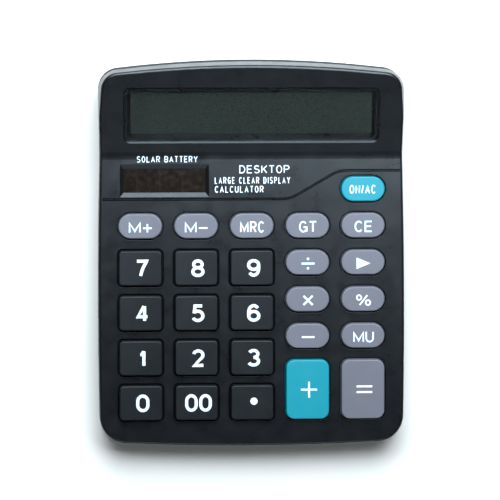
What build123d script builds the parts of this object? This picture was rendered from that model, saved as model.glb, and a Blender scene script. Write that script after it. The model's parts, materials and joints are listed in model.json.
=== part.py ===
"""A solar and battery desk calculator, built as the separate pieces of the real one.

Frame: millimetres, X to the user's right, Y away from the user, +Z up. The origin is on the desk, under
the middle of the case. The key deck slopes gently up to a fold line, and the display head rises from
there at a steeper angle. Pieces on the deck are placed in the deck's own plane and pieces in the head in
the head's plane, so a depth below either surface is a negative offset of that plane.
"""

from build123d import *
from math import acos, atan, atan2, cos, degrees, hypot, radians, sin, sqrt, tan
import os

os.makedirs("parts", exist_ok=True)

# ---------------------------------------------------------------- overall sizes
case_width = 118.7  # across the fullest part of the keypad's sides
case_depth = 149.8
deck_front_height = 14.6  # height of the deck at the front edge
deck_angle = 3.5
head_run = 37.4  # from the fold line back, on plan
wall = 2.0

# Plan shape of the case
fullest_reach = 58.0  # front edge to the fullest part of the sides
front_draw_in = 0.5  # the sides at the front corners, in from the fullest part
waist_draw_in = 0.9
back_draw_in = 0.5
front_bow = 1.9  # how far the middle of the front edge stands ahead of its corners
front_corner_radius = 10.7
waist_blend_radius = 200.0
back_bow = 4.0
back_corner_radius = 8.0

# Side shape of the case
foot_height = 2.0  # gap between the desk and the underside
fold_radius = 10.0
head_gap = 1.9  # between the roof of the battery bay and the display's retainer
band_rise = 4.5  # the back of the head leans forward from this far above the fold line
band_angle = 15.0
parting_depth = 8.5  # parting line below the deck surface
rim_radius = 1.0  # rounding of the top case's upper edge
base_radius = 1.2  # rounding of the bottom case's lower edge

# The joint between the two shells
case_step = 0.3  # the top case is this much smaller than the bottom case all round
back_ledge = 1.3  # and this much more at the back
lip_height = 1.5
lip_width = 0.9
lip_clearance = 0.1

# Keys, in the deck's plane
side_margin = 16.55  # case side to the middles of the outer columns
front_margin = 10.85  # front edge to the front of the number keys
back_margin = 36.45  # fold line to the back of the number keys
memory_gap = 4.95  # number keys to the row of oval keys behind them
oval_height = 9.25
tall_gap = 4.75  # tall keys to the oval keys behind them
on_key_nudge = 0.2
number_spacing = (5.15, 4.2)  # room between neighbours, across and along
oval_spacing = (4.9, 4.95)
tall_spacing = 5.0
number_corner = 1.4
tall_corner = 3.1
number_rise = 3.0
function_rise = 2.6
key_gap = 0.3  # between a key and its hole
key_wall = 1.2
key_top_wall = 1.6
key_draft = 6.0
key_dish_radius = 90.0
key_edge_radius = 0.45
key_flange = 1.1
key_flange_thickness = 0.8
key_flange_gap = 0.1  # flange to the underside of the deck, at rest
hole_edge_radius = 0.4
stem_radius = 2.1
stem_length = 2.1  # below the underside of the deck

# Rubber sheet and circuit board
sheet_thickness = 0.8
sheet_inset = 1.0  # board edge to the sheet
sheet_overhang = 3.3  # of the sheet behind the back row of oval keys
sheet_border = 1.5  # round the dome of the key that stands on its own
dome_base_radius = 4.6
dome_crown_radius = 3.1
dome_crown_thickness = 1.25
dome_wall = 0.6
dome_rest_gap = 0.05
pill_radius = 2.4
pill_thickness = 0.3
pill_gap = 1.2  # pill to board at rest, which is the key's travel
board_thickness = 1.2
board_margin = 5.0  # case side to the board
board_front_margin = 9.9  # front edge of the case to the board
board_back_margin = 5.3  # board to the fold line
board_corner = 3.0
board_back_screw_inset = 5.5
board_solar_screw_gap = 5.5  # between the solar cell's frame and the board screw beside it


# Components under the board: each is placed to the right of the middle and in from the board's back edge
chip_place = (7.5, 9.0)
chip_radius = 5.2
chip_top_radius = 2.6
chip_height = 1.3
capacitor_place = (-27.8, 9.0)
capacitor_radius = 2.5
capacitor_length = 7.0
ceramic_places = [(12.0, 4.5), (15.0, 4.5), (29.0, 4.5)]
ceramic_size = (1.8, 1.1, 1.0)
diode_place = (34.8, 8.0)
diode_radius = 0.9
diode_length = 4.0
lead_width = 0.5
lead_spacing = 2.0

# Ribs under the board
rib_width = 1.2
rib_margin = 8.0
rib_gap = 0.1  # ribs to the board

# Groove across the deck
groove_width = 1.05
groove_floor_width = 0.2
groove_depth = 0.85
groove_margin = 2.2
groove_radius = 12.0
groove_solar_gap = 0.35  # between the solar opening and the groove
groove_fold_gap = 5.8  # fold line to the groove, at the right
groove_turn_setbacks = (6.5, 9.2)  # the groove turns this far to the left of the two right columns

# Solar cell
solar_opening = (34.2, 12.6)
solar_side_margin = 8.85  # case side to the opening
solar_bevel = (1.4, 1.7)  # how far the bevels reach in, across and along
solar_bevel_depth = 0.9
solar_land = 0.3  # upright part of the opening, below its bevel
solar_clearance = 0.15  # between the cell and its pocket
solar_margin = 9.5  # fold line to the middle of the cell
solar_cell_thickness = 1.1
solar_border = 1.8  # of the cell beyond the bottom of the opening
solar_frame_thickness = 1.2
solar_frame_border = 2.0
solar_frame_corner = 1.5
solar_stake_radius = 0.9
solar_stake_head_radius = 1.4  # of the melted end that holds the frame
solar_stake_head_height = 0.5
solar_stake_gap = 0.4  # between the cell and a stake
solar_frame_overhang = 2.0  # of the frame beyond a stake's middle
solar_frame_room = 0.5  # of the frame beyond the cell, along
solar_wire_spread = 4.0  # each wire leaves the cell this far from its middle
solar_wire_reach = 3.0  # and lands this much further out

# Display, in the head's plane
window_margin = 21.4  # case width less the width of the window
window_front_margin = 5.5  # fold line to the window's front edge
window_back_margin = 13.1  # back of the head to the window's back edge
window_corner_radius = 2.2
window_recess = 1.5
window_chamfer = 0.5
window_ledge = 1.2
window_bevel = 1.1
window_frame_thickness = 3.4
window_frame_border = 1.6
lens_thickness = 0.9
lens_clearance = 0.15
glass_thickness = 0.7
glass_border = 0.9  # of the glass beyond the window's opening
glass_ledge = 2.4  # strip of the front glass that the ribbon is bonded to
polarizer_thickness = 0.2
polarizer_gap = 0.3
gasket_thickness = 0.3
retainer_thickness = 1.4
retainer_side_gap = 4.0  # retainer to the case's side
retainer_screw_inset = 2.4
retainer_screw_rise = 7.0
retainer_trim = 0.6
retainer_bar = 5.0

# Ribbon from the glass to the board
ribbon_inset = 18.5
ribbon_thickness = 0.16
ribbon_overlap = 2.0
ribbon_foot = 3.2

# Battery bay and its door
cell_radius = 7.1
cell_length = 50.0
cell_nub_radius = 2.7
cell_nub_length = 1.0
cell_floor_gap = 0.6  # from the door's inner face to the cell
bay_clearance = 0.5
bay_wall = 1.0
bay_back_gap = 3.0  # from the bay to the back wall of the case
contact_thickness = 0.4
contact_size = 9.0
contact_tab_width = 2.6
contact_tab_length = 3.4
spring_wire_radius = 0.35
spring_radius = 3.4
spring_length = 5.2
spring_turns = 3
door_thickness = 1.6
door_roof = 1.25
door_side = 1.5  # of the door beyond the ends of the bay
door_lap = 2.8  # of the door ahead of the bay
door_clearance = 0.15
door_cut_runout = 5.0  # past the back of the case, where the trough is open
door_tongue = 1.2
door_tongue_thickness = 0.7
door_tongue_setback = 6.0
door_grip_inset = 9.0  # from the back of the case to the middle of the grip
door_grip_count = 4
door_grip_pitch = 2.4
door_grip_width = 38.0
door_grip_depth = 0.5
wire_radius = 0.5

# Fasteners and feet
front_screw_inset = (8.5, 6.1)  # case screws, from the side and from the front edge
middle_screw_inset = (7.0, 1.5)  # from the side and behind the fold line
back_screw_inset = (6.8, 7.7)  # from the side and from the back edge
case_post_radius = 3.2
case_boss_radius = 2.6
case_screw_radius = 1.15
case_screw_length = 6.0
case_screw_web = 1.8
case_screw_head_radius = 1.9
case_screw_head_height = 1.3
screw_hole_runout = 0.4  # of each blind hole beyond its screw's tip
small_boss_radius = 2.0
small_screw_radius = 0.8
small_screw_length = 3.6
small_screw_head_radius = 1.6
small_screw_head_height = 1.1
thread_clearance = 0.05
shank_clearance = 0.3
front_foot_inset = (15.0, 16.2)  # feet, from the side and from the front edge
back_foot_inset = (10.0, 18.2)  # from the side and from the back edge
foot_radius = 5.0
foot_recess = 0.6
root = 1.0  # how far a boss runs into the wall it stands on
touch = 0.02  # between two faces that are glued or pressed together

# ---------------------------------------------------------------- derived sizes
front_y, back_y = -case_depth / 2, case_depth / 2
fold_y = back_y - head_run
deck_tilt = radians(deck_angle)
floor_top = foot_height + wall


def deck_z(y):
    """Height of the deck surface at y."""
    return deck_front_height + (y - front_y) * tan(deck_tilt)


def parting_z(y):
    """Height of the parting line at y."""
    return deck_z(y) - parting_depth / cos(deck_tilt)


# The display's layers, as depths below the head's surface
glass_top = -window_frame_thickness - gasket_thickness
glass_split = glass_top - glass_thickness
glass_bottom = glass_split - glass_thickness
film_bottom = glass_bottom - polarizer_thickness
retainer_bottom = film_bottom - retainer_thickness

# The head is as steep as it has to be for its display to pass over the battery bay
bay_outer_radius = cell_radius + bay_clearance + bay_wall
bay_y = back_y - case_step - back_ledge - wall - bay_back_gap - bay_outer_radius
cell_z = foot_height + door_thickness + cell_floor_gap + cell_radius
fold_z = deck_z(fold_y)
needed = bay_outer_radius + head_gap - retainer_bottom
run, rise_to_fold = bay_y - fold_y, fold_z - cell_z
head_tilt = atan2(run, rise_to_fold) - acos(needed / hypot(run, rise_to_fold))
head_length = (back_y - fold_y) / cos(head_tilt)
head_top = fold_z + (back_y - fold_y) * tan(head_tilt)
band_start = fold_z + band_rise

deck = Plane(origin=(0, 0, deck_z(0)), x_dir=(1, 0, 0), z_dir=(0, -sin(deck_tilt), cos(deck_tilt)))
head = Plane(origin=(0, fold_y, fold_z), x_dir=(1, 0, 0), z_dir=(0, -sin(head_tilt), cos(head_tilt)))
block_height = head_top + 10.0  # taller than the case, before its top is cut to shape

# Depths below the deck
flange_top = -wall - key_flange_gap
flange_bottom = flange_top - key_flange_thickness
stem_bottom = -wall - stem_length - key_flange_gap
crown_top = stem_bottom - dome_rest_gap
crown_bottom = crown_top - dome_crown_thickness
pill_bottom = crown_bottom - pill_thickness
board_top = pill_bottom - pill_gap
board_bottom = board_top - board_thickness
sheet_top = board_top + sheet_thickness

# Rows and columns of keys
column_pitch = (case_width - 2 * side_margin) / 4
columns = [column_pitch * n for n in (-2, -1, 0, 1, 2)]
numbers_back, numbers_front = fold_y - back_margin, front_y + front_margin
number_pitch = (numbers_back - numbers_front + number_spacing[1]) / 4
number_size = (column_pitch - number_spacing[0], number_pitch - number_spacing[1], number_corner)
number_rows = [numbers_back - number_size[1] / 2 - number_pitch * n for n in range(4)]
function_pitch = oval_height + oval_spacing[1]
tall_length = numbers_back + memory_gap - 3 * function_pitch - tall_gap - numbers_front
tall_size = (column_pitch - tall_spacing, tall_length, tall_corner)
tall_key_y = numbers_front + tall_length / 2
oval_width = column_pitch - oval_spacing[0]
oval_size = (oval_width, oval_height, min(oval_width, oval_height) / 2)
memory_row = numbers_back + memory_gap + oval_height / 2
function_rows = [memory_row - function_pitch * n for n in range(4)]
on_key_y = memory_row + function_pitch - on_key_nudge

keys = {}  # name: (x, y, size, rise)
for name, column, row in [
    ("7", 0, 0), ("8", 1, 0), ("9", 2, 0),
    ("4", 0, 1), ("5", 1, 1), ("6", 2, 1),
    ("1", 0, 2), ("2", 1, 2), ("3", 2, 2),
    ("0", 0, 3), ("00", 1, 3), ("point", 2, 3),
]:
    keys[name] = (columns[column], number_rows[row], number_size, number_rise)
for name, column, row in [
    ("m_plus", 0, 0), ("m_minus", 1, 0), ("mrc", 2, 0), ("gt", 3, 0), ("ce", 4, 0),
    ("divide", 3, 1), ("delete", 4, 1),
    ("multiply", 3, 2), ("percent", 4, 2),
    ("minus", 3, 3), ("mu", 4, 3),
]:
    keys[name] = (columns[column], function_rows[row], oval_size, function_rise)
keys["on_ac"] = (columns[4], on_key_y, oval_size, function_rise)
keys["plus"] = (columns[3], tall_key_y, tall_size, function_rise)
keys["equals"] = (columns[4], tall_key_y, tall_size, function_rise)
key_points = [(x, y) for x, y, _, _ in keys.values()]
key_places = [deck.location * Location((x, y, 0)) for x, y in key_points]

# Board, sheet and what is fixed to them, in the deck's plane
board_half_width = case_width / 2 - board_margin
board_front = front_y + board_front_margin
board_back = fold_y - board_back_margin
sheet_front = board_front + sheet_inset
sheet_back = memory_row + oval_height / 2 + sheet_overhang
tongue_back = on_key_y + dome_base_radius + sheet_border
number_gaps = [(number_rows[n] + number_rows[n + 1]) / 2 for n in range(3)]
board_screw_points = [(x * column_pitch, numbers_back + memory_gap / 2) for x in (-1.5, -0.5)]
board_screw_points += [(x * column_pitch, y) for x in (-1.5, -0.5) for y in number_gaps[1:]]
board_screw_points += [(1.5 * column_pitch, (function_rows[n] + function_rows[n + 1]) / 2) for n in (0, 2)]
board_screw_points += [(1.5 * column_pitch, numbers_front + tall_length + tall_gap / 2)]

# Solar cell, in the deck's plane
solar_x = -case_width / 2 + solar_side_margin + solar_opening[0] / 2
solar_y = fold_y - solar_margin
solar_sight = (solar_opening[0] - 2 * solar_bevel[0], solar_opening[1] - 2 * solar_bevel[1])
solar_cell_size = (solar_sight[0] + 2 * solar_border, solar_sight[1] + 2 * solar_border)
solar_cell_bottom = -solar_bevel_depth - solar_land - touch - solar_cell_thickness
solar_frame_bottom = solar_cell_bottom - touch - solar_frame_thickness
solar_stake_root = max(-wall, solar_cell_bottom)  # under the deck, or in the frame's pocket in a thick one
solar_stake_x = solar_cell_size[0] / 2 + solar_stake_radius + solar_stake_gap
groove_left_y = solar_y - solar_opening[1] / 2 - groove_width / 2 - groove_solar_gap
groove_right_y = fold_y - groove_fold_gap
groove_turns = (columns[3] - groove_turn_setbacks[0], columns[4] - groove_turn_setbacks[1])
solar_frame_end = solar_x + solar_stake_x + solar_frame_overhang
solar_frame_size = (2 * (solar_frame_end - solar_x), solar_cell_size[1] + 2 * solar_frame_room)
back_screw_y = board_back - board_back_screw_inset
board_screw_points += [(solar_frame_end + board_solar_screw_gap, back_screw_y), (columns[3], back_screw_y)]

# Display, in the head's plane
window_v = (window_front_margin + head_length - window_back_margin) / 2
window_size = (case_width - window_margin, head_length - window_front_margin - window_back_margin)
ledge_size = (window_size[0] - 2 * window_ledge, window_size[1] - 2 * window_ledge)
sight_size = (ledge_size[0] - 2 * window_bevel, ledge_size[1] - 2 * window_bevel)
sight_corner = 0.8
glass_size = (window_size[0] + 2 * glass_border, window_size[1] + 2 * glass_border)
glass_front_v = window_v - glass_size[1] / 2 - glass_ledge
retainer_size = (case_width - 2 * retainer_side_gap, glass_size[1] - retainer_trim)
retainer_screw_x = retainer_size[0] / 2 - retainer_screw_inset
retainer_screw_points = [
    (side * retainer_screw_x, window_v + way * retainer_screw_rise) for side in (1, -1) for way in (1, -1)
]

# Battery bay and door
bay_length = cell_length + cell_nub_length + 2 * contact_thickness + spring_length
bay_end = bay_length / 2
door_half = bay_end + bay_wall + door_side
door_top = foot_height + door_thickness
door_front = bay_y - bay_outer_radius - door_lap
trough_top = door_top + door_clearance
trough_length = back_y + door_cut_runout - door_front + door_clearance
trough_middle = back_y + door_cut_runout - trough_length / 2
tongue_reach = door_half + door_tongue
tongue_bottom = door_top - door_tongue_thickness
cell_end = bay_end - contact_thickness - cell_nub_length
tab_z = cell_z + contact_size / 2 - contact_thickness / 2

# Screw and foot positions, looking down
case_screw_points = [
    (side * (case_width / 2 - inset), y)
    for side in (1, -1)
    for inset, y in [
        (front_screw_inset[0], front_y + front_screw_inset[1]),
        (middle_screw_inset[0], fold_y + middle_screw_inset[1]),
        (back_screw_inset[0], back_y - back_screw_inset[1]),
    ]
]
foot_points = [
    (side * (case_width / 2 - inset), y)
    for side in (1, -1)
    for inset, y in [
        (front_foot_inset[0], front_y + front_foot_inset[1]),
        (back_foot_inset[0], back_y - back_foot_inset[1]),
    ]
]


# ---------------------------------------------------------------- shared shapes
upright = (Align.CENTER, Align.CENTER, Align.MIN)
hanging = (Align.CENTER, Align.CENTER, Align.MAX)


def write(part, name):
    """Labels one finished piece and writes it as parts/NAME.step."""
    part.label = name
    export_step(part, f"parts/{name}.step")


def on_plane(plane, points, depth):
    """Places on a plane's surface, moved along its normal by depth."""
    return [plane.location * Location((x, y, depth)) for x, y in points]


def case_plan(inset=0.0, ledge=0.0):
    """Plan of the case, drawn in by inset all round, with its back edge moved forward by ledge."""
    half = case_width / 2
    fullest_y = front_y + fullest_reach
    front_half, waist_half, back_half = half - front_draw_in, half - waist_draw_in, half - back_draw_in
    back_edge = back_y - ledge
    with BuildSketch() as plan:
        with BuildLine():
            front = ThreePointArc(
                (-front_half, front_y + front_bow), (0, front_y), (front_half, front_y + front_bow)
            )
            right = ThreePointArc(front @ 1, (half, fullest_y), (waist_half, fold_y))
            right_head = Line(right @ 1, (back_half, back_edge - back_bow))
            back = ThreePointArc(right_head @ 1, (0, back_edge), (-back_half, back_edge - back_bow))
            left_head = Line(back @ 1, (-waist_half, fold_y))
            ThreePointArc(left_head @ 1, (-half, fullest_y), front @ 0)
        make_face()
        fillet(plan.vertices().sort_by(Axis.Y)[:2], front_corner_radius)
        fillet(plan.vertices().sort_by(Axis.Y)[-2:], back_corner_radius)
        fillet(plan.vertices().filter_by_position(Axis.Y, fold_y - 1, fold_y + 1), waist_blend_radius)
        if inset:
            offset(amount=-inset)
    return plan.sketch


def side_profile(inset=0.0):
    """Section under the deck and the head, lowered by inset square to both, in the YZ plane."""
    shift = inset * (1 / cos(head_tilt) - 1 / cos(deck_tilt)) / (tan(head_tilt) - tan(deck_tilt))
    reach = case_depth
    fold = (fold_y + shift, deck_z(fold_y + shift) - inset / cos(deck_tilt))
    with BuildSketch(Plane.YZ) as profile:
        with BuildLine():
            Polyline(
                (-reach, -reach),
                (-reach, deck_z(-reach) - inset / cos(deck_tilt)),
                fold,
                (reach, fold[1] + (reach - fold[0]) * tan(head_tilt)),
                (reach, -reach),
                close=True,
            )
        make_face()
        fillet(profile.vertices().sort_by_distance((0, *fold))[0], fold_radius + inset)
    return profile.sketch


def case_block(inset=0.0):
    """The top case's outer form, or its hollow, as one solid that runs down past the parting line."""
    with BuildPart() as block:
        with BuildSketch(Plane.XY):
            add(case_plan(case_step + inset, back_ledge))
        extrude(amount=band_start)
        with BuildSketch(Plane.XY.offset(band_start)):
            add(case_plan(case_step + inset, back_ledge))
        extrude(amount=block_height - band_start, taper=band_angle)
        under = extrude(side_profile(inset), amount=case_width, both=True, mode=Mode.PRIVATE)
        add(under, mode=Mode.INTERSECT)
    return block.part


def wall_ring(outer_inset, low, high):
    """A strip of the case's wall, from outer_inset to the hollow, between two depths below the deck."""
    with BuildPart() as ring:
        with BuildSketch(Plane.XY):
            add(case_plan(outer_inset, back_ledge))
            add(case_plan(case_step + wall, back_ledge), mode=Mode.SUBTRACT)
        extrude(amount=block_height)
        split(bisect_by=deck.offset(low), keep=Keep.TOP)
        split(bisect_by=deck.offset(high), keep=Keep.BOTTOM)
    return ring.part


def pan_screw(head_radius, head_height, shank_radius, length):
    """A self-tapping screw that points up, with the underside of its head at z = 0."""
    with BuildPart() as screw:
        with BuildSketch(Plane.XY.offset(-head_height)):
            Circle(head_radius)
        extrude(amount=head_height)
        fillet(screw.edges().sort_by(Axis.Z)[0], head_height * 0.6)
        with BuildSketch():
            Circle(shank_radius)
        extrude(amount=length - shank_radius)
        with BuildSketch(Plane.XY.offset(length - shank_radius)):
            Circle(shank_radius)
        extrude(amount=shank_radius * 0.9, taper=40)
        with BuildSketch(Plane.XY.offset(-head_height)):
            Rectangle(head_radius * 1.15, head_radius * 0.28)
            Rectangle(head_radius * 0.28, head_radius * 1.15)
        extrude(amount=head_height * 0.55, mode=Mode.SUBTRACT)
    return screw.part


def wire(points, start, end, radius):
    """A round wire along a smooth curve through the points, leaving along start and arriving along end."""
    with BuildPart() as strand:
        with BuildLine() as path:
            Spline(*points, tangents=(start, end))
        with BuildSketch(Plane(origin=path.line @ 0, z_dir=path.line % 0)):
            Circle(radius)
        sweep()
    return strand.part


def key_base(size, rise):
    """A key's outline where it meets the deck, from the size of its top and its draft."""
    lean = rise * tan(radians(key_draft))
    return size[0] + 2 * lean, size[1] + 2 * lean, size[2] + lean


def grown(outline, amount):
    """A rounded rectangle's width, height and corner radius, moved outward by amount."""
    return outline[0] + 2 * amount, outline[1] + 2 * amount, outline[2] + amount


def key_outline(width, height, corner):
    """Draws a rounded rectangle, or a slot along its longer side where its corners meet."""
    if min(width, height) - 2 * corner > touch:
        RectangleRounded(width, height, corner)
    else:
        SlotOverall(max(width, height), min(width, height), rotation=0 if width > height else 90)


# ---------------------------------------------------------------- top case
with BuildPart() as case_bosses:
    with BuildSketch(Plane.XY):
        with Locations(*case_screw_points):
            Circle(case_boss_radius)
    extrude(amount=block_height)
    split(bisect_by=deck.offset(-parting_depth), keep=Keep.TOP)
    add(case_block(wall - root), mode=Mode.INTERSECT)

with BuildPart() as top_case:
    add(case_block())
    roof = top_case.faces().filter_by(lambda face: face.normal_at().Z > 0.5)
    fillet(roof.edges() - roof.edges().filter_by(Axis.X), rim_radius)
    add(case_block(wall), mode=Mode.SUBTRACT)
    split(bisect_by=deck.offset(-parting_depth), keep=Keep.TOP)
    lip_room = lip_width + lip_clearance
    lip_top = lip_height + lip_clearance - parting_depth
    add(wall_ring(case_step + wall - lip_room, -parting_depth - root, lip_top), mode=Mode.SUBTRACT)
    add(case_bosses.part)
    for x, y in case_screw_points:
        tip = parting_z(y) - case_screw_web + case_screw_length + screw_hole_runout
        with Locations((x, y, 0)):
            Cylinder(
                case_screw_radius + thread_clearance, tip,
                align=upright, mode=Mode.SUBTRACT,
            )
    # pocket for the solar cell's frame, where the deck is thicker than the cell is deep
    with BuildSketch(deck.offset(solar_frame_bottom)):
        with Locations((solar_x, solar_y)):
            RectangleRounded(*grown((*solar_frame_size, solar_frame_corner), solar_clearance))
    extrude(amount=solar_frame_thickness + touch, mode=Mode.SUBTRACT)
    # bosses for the circuit board, and the stakes that hold the solar cell
    with BuildSketch(deck.offset(board_top + touch)):
        with Locations(*board_screw_points):
            Circle(small_boss_radius)
    extrude(amount=-wall + root - board_top - touch)
    with BuildSketch(deck.offset(board_top)):
        with Locations(*board_screw_points):
            Circle(small_screw_radius + thread_clearance)
    extrude(amount=small_screw_length - board_thickness + screw_hole_runout, mode=Mode.SUBTRACT)
    with BuildSketch(deck.offset(solar_frame_bottom - touch)):
        with Locations((solar_x - solar_stake_x, solar_y), (solar_x + solar_stake_x, solar_y)):
            Circle(solar_stake_radius)
    extrude(amount=solar_stake_root + root - solar_frame_bottom)
    with BuildSketch(deck.offset(solar_frame_bottom - touch)):
        with Locations((solar_x - solar_stake_x, solar_y), (solar_x + solar_stake_x, solar_y)):
            Circle(solar_stake_head_radius)
    extrude(amount=-solar_stake_head_height)
    # display window
    with BuildSketch(head.offset(-window_frame_thickness)):
        with Locations((0, window_v)):
            RectangleRounded(*grown((*window_size, window_corner_radius), window_frame_border))
    extrude(amount=window_frame_thickness - wall + root)
    with BuildSketch(head.offset(-window_recess)):
        with Locations((0, window_v)):
            RectangleRounded(*window_size, window_corner_radius)
    extrude(amount=window_recess + 1, mode=Mode.SUBTRACT)
    with BuildSketch(head):
        with Locations((0, window_v)):
            RectangleRounded(*grown((*window_size, window_corner_radius), window_chamfer))
    extrude(amount=-window_chamfer, taper=45, mode=Mode.SUBTRACT)
    with BuildSketch(head.offset(-window_recess)):
        with Locations((0, window_v)):
            RectangleRounded(*ledge_size, sight_corner + window_bevel)
    extrude(
        amount=-(window_frame_thickness - window_recess),
        taper=degrees(atan(window_bevel / (window_frame_thickness - window_recess))),
        mode=Mode.SUBTRACT,
    )
    with BuildSketch(head.offset(film_bottom + touch)):
        with Locations(*retainer_screw_points):
            Circle(small_boss_radius)
    extrude(amount=-wall + root - film_bottom - touch)
    with BuildSketch(head.offset(film_bottom)):
        with Locations(*retainer_screw_points):
            Circle(small_screw_radius + thread_clearance)
    extrude(amount=small_screw_length - retainer_thickness + screw_hole_runout, mode=Mode.SUBTRACT)
    # solar cell opening, with a pocket under it for the cell
    with BuildSketch(deck):
        with Locations((solar_x, solar_y)):
            Rectangle(*solar_opening)
    with BuildSketch(deck.offset(-solar_bevel_depth)):
        with Locations((solar_x, solar_y)):
            Rectangle(*solar_sight)
    loft(mode=Mode.SUBTRACT)
    with BuildSketch(deck.offset(-solar_bevel_depth - solar_land - solar_cell_thickness - touch)):
        with Locations((solar_x, solar_y)):
            Rectangle(solar_cell_size[0] + 2 * solar_clearance, solar_cell_size[1] + 2 * solar_clearance)
    extrude(amount=solar_cell_thickness + touch, mode=Mode.SUBTRACT)
    with BuildSketch(deck.offset(-wall)):
        with Locations((solar_x, solar_y)):
            Rectangle(*solar_sight)
    extrude(amount=wall, mode=Mode.SUBTRACT)
    # groove
    with BuildSketch(deck):
        with BuildLine():
            FilletPolyline(
                (-case_width / 2 + groove_margin, groove_left_y),
                (groove_turns[0], groove_left_y),
                (groove_turns[1], groove_right_y),
                (case_width / 2 - groove_margin, groove_right_y),
                radius=groove_radius,
            )
        trace(line_width=groove_width)
    extrude(
        amount=-groove_depth,
        taper=degrees(atan((groove_width - groove_floor_width) / 2 / groove_depth)),
        mode=Mode.SUBTRACT,
    )
    # key holes
    with BuildSketch(deck.offset(0.5)):
        for x, y, size, rise in keys.values():
            with Locations((x, y)):
                key_outline(*grown(key_base(size, rise), key_gap))
    extrude(amount=-wall - 1.5, mode=Mode.SUBTRACT)
    surface = top_case.faces().filter_by(lambda face: (face.normal_at() - deck.z_dir).length < 1e-4)
    surface = surface.sort_by(SortBy.AREA)[-1]
    hole_rims = [
        edge
        for hole in surface.inner_wires()
        for edge in hole.edges()
        if any((hole.bounding_box().center() - place.position).length < key_gap for place in key_places)
    ]
    fillet(hole_rims, hole_edge_radius)
write(top_case.part, "top_case")

# ---------------------------------------------------------------- bottom case
with BuildPart() as base_block:
    with BuildSketch(Plane.XY.offset(foot_height)):
        add(case_plan())
    extrude(amount=block_height)
    fillet(base_block.faces().sort_by(Axis.Z)[0].edges(), base_radius)

# the lip that locates the top case, cut away where the top case's bosses stand
with BuildPart() as locating_lip:
    add(wall_ring(case_step + wall - lip_width, -parting_depth - root, lip_height - parting_depth))
    with BuildSketch(Plane.XY):
        with Locations(*case_screw_points):
            Circle(case_boss_radius + 2 * lip_clearance)
    extrude(amount=block_height, mode=Mode.SUBTRACT)

# the ribs that carry the circuit board
with BuildPart() as board_ribs:
    with BuildSketch(Plane.XY.offset(floor_top - root)):
        for x in (-column_pitch, column_pitch):
            with Locations((x, (front_y + board_back) / 2)):
                Rectangle(rib_width, board_back - front_y - 2 * rib_margin)
        for y in (number_rows[-1], number_gaps[0]):
            with Locations((0, y)):
                Rectangle(2 * board_half_width - 2 * rib_margin, rib_width)
    extrude(amount=block_height)
    split(bisect_by=deck.offset(board_bottom - rib_gap), keep=Keep.BOTTOM)

with BuildPart() as bottom_case:
    add(base_block.part)
    with BuildSketch(Plane.XY.offset(floor_top)):
        add(case_plan(case_step + wall, back_ledge))
    extrude(amount=block_height, mode=Mode.SUBTRACT)
    with BuildSketch(Plane.XY.offset(floor_top - root)):
        with Locations(*case_screw_points):
            Circle(case_post_radius)
    extrude(amount=block_height)
    split(bisect_by=deck.offset(-parting_depth), keep=Keep.BOTTOM)
    add(locating_lip.part)
    add(board_ribs.part)
    # battery bay: an arched box over the door's trough
    with BuildSketch(Plane.XY.offset(floor_top - root)):
        with Locations((0, (door_front + back_y) / 2)):
            Rectangle(2 * (tongue_reach + door_clearance + bay_wall), back_y - door_front + 2 * bay_wall)
    extrude(amount=trough_top + door_roof - floor_top + root)
    with BuildSketch(Plane.YZ):
        with Locations((bay_y, cell_z)):
            Circle(bay_outer_radius)
        with Locations((bay_y, (cell_z + floor_top) / 2)):
            Rectangle(2 * bay_outer_radius, cell_z - floor_top)
    extrude(amount=bay_end + bay_wall, both=True)
    add(base_block.part, mode=Mode.INTERSECT)
    with BuildSketch(Plane.YZ):
        with Locations((bay_y, cell_z)):
            Circle(bay_outer_radius - bay_wall)
        with Locations((bay_y, cell_z / 2)):
            Rectangle(2 * (bay_outer_radius - bay_wall), cell_z)
    extrude(amount=bay_end, both=True, mode=Mode.SUBTRACT)
    # trough and the grooves for the door's tongues, open at the back
    with BuildSketch(Plane.XY):
        with Locations((0, trough_middle)):
            Rectangle(2 * (door_half + door_clearance), trough_length)
    extrude(amount=trough_top, mode=Mode.SUBTRACT)
    with BuildSketch(Plane.XY.offset(tongue_bottom - door_clearance)):
        with Locations((0, trough_middle)):
            Rectangle(2 * (tongue_reach + door_clearance), trough_length)
    extrude(amount=trough_top - tongue_bottom + door_clearance, mode=Mode.SUBTRACT)
    # slots for the contacts' tabs
    with Locations(*[(side * (bay_end + bay_wall / 2), bay_y, tab_z) for side in (1, -1)]):
        Box(bay_wall + 0.2, contact_tab_width + 0.3, contact_thickness + 0.2, mode=Mode.SUBTRACT)
    # screw wells and foot recesses
    for x, y in case_screw_points:
        seat = parting_z(y) - case_screw_web
        with Locations((x, y, 0)):
            Cylinder(
                case_screw_head_radius + shank_clearance, seat,
                align=upright, mode=Mode.SUBTRACT,
            )
            Cylinder(
                case_screw_radius + shank_clearance, block_height,
                align=upright, mode=Mode.SUBTRACT,
            )
    with BuildSketch(Plane.XY.offset(foot_height + foot_recess)):
        with Locations(*foot_points):
            Circle(foot_radius + touch)
    extrude(amount=-foot_recess - foot_height, mode=Mode.SUBTRACT)
write(bottom_case.part, "bottom_case")

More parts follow.
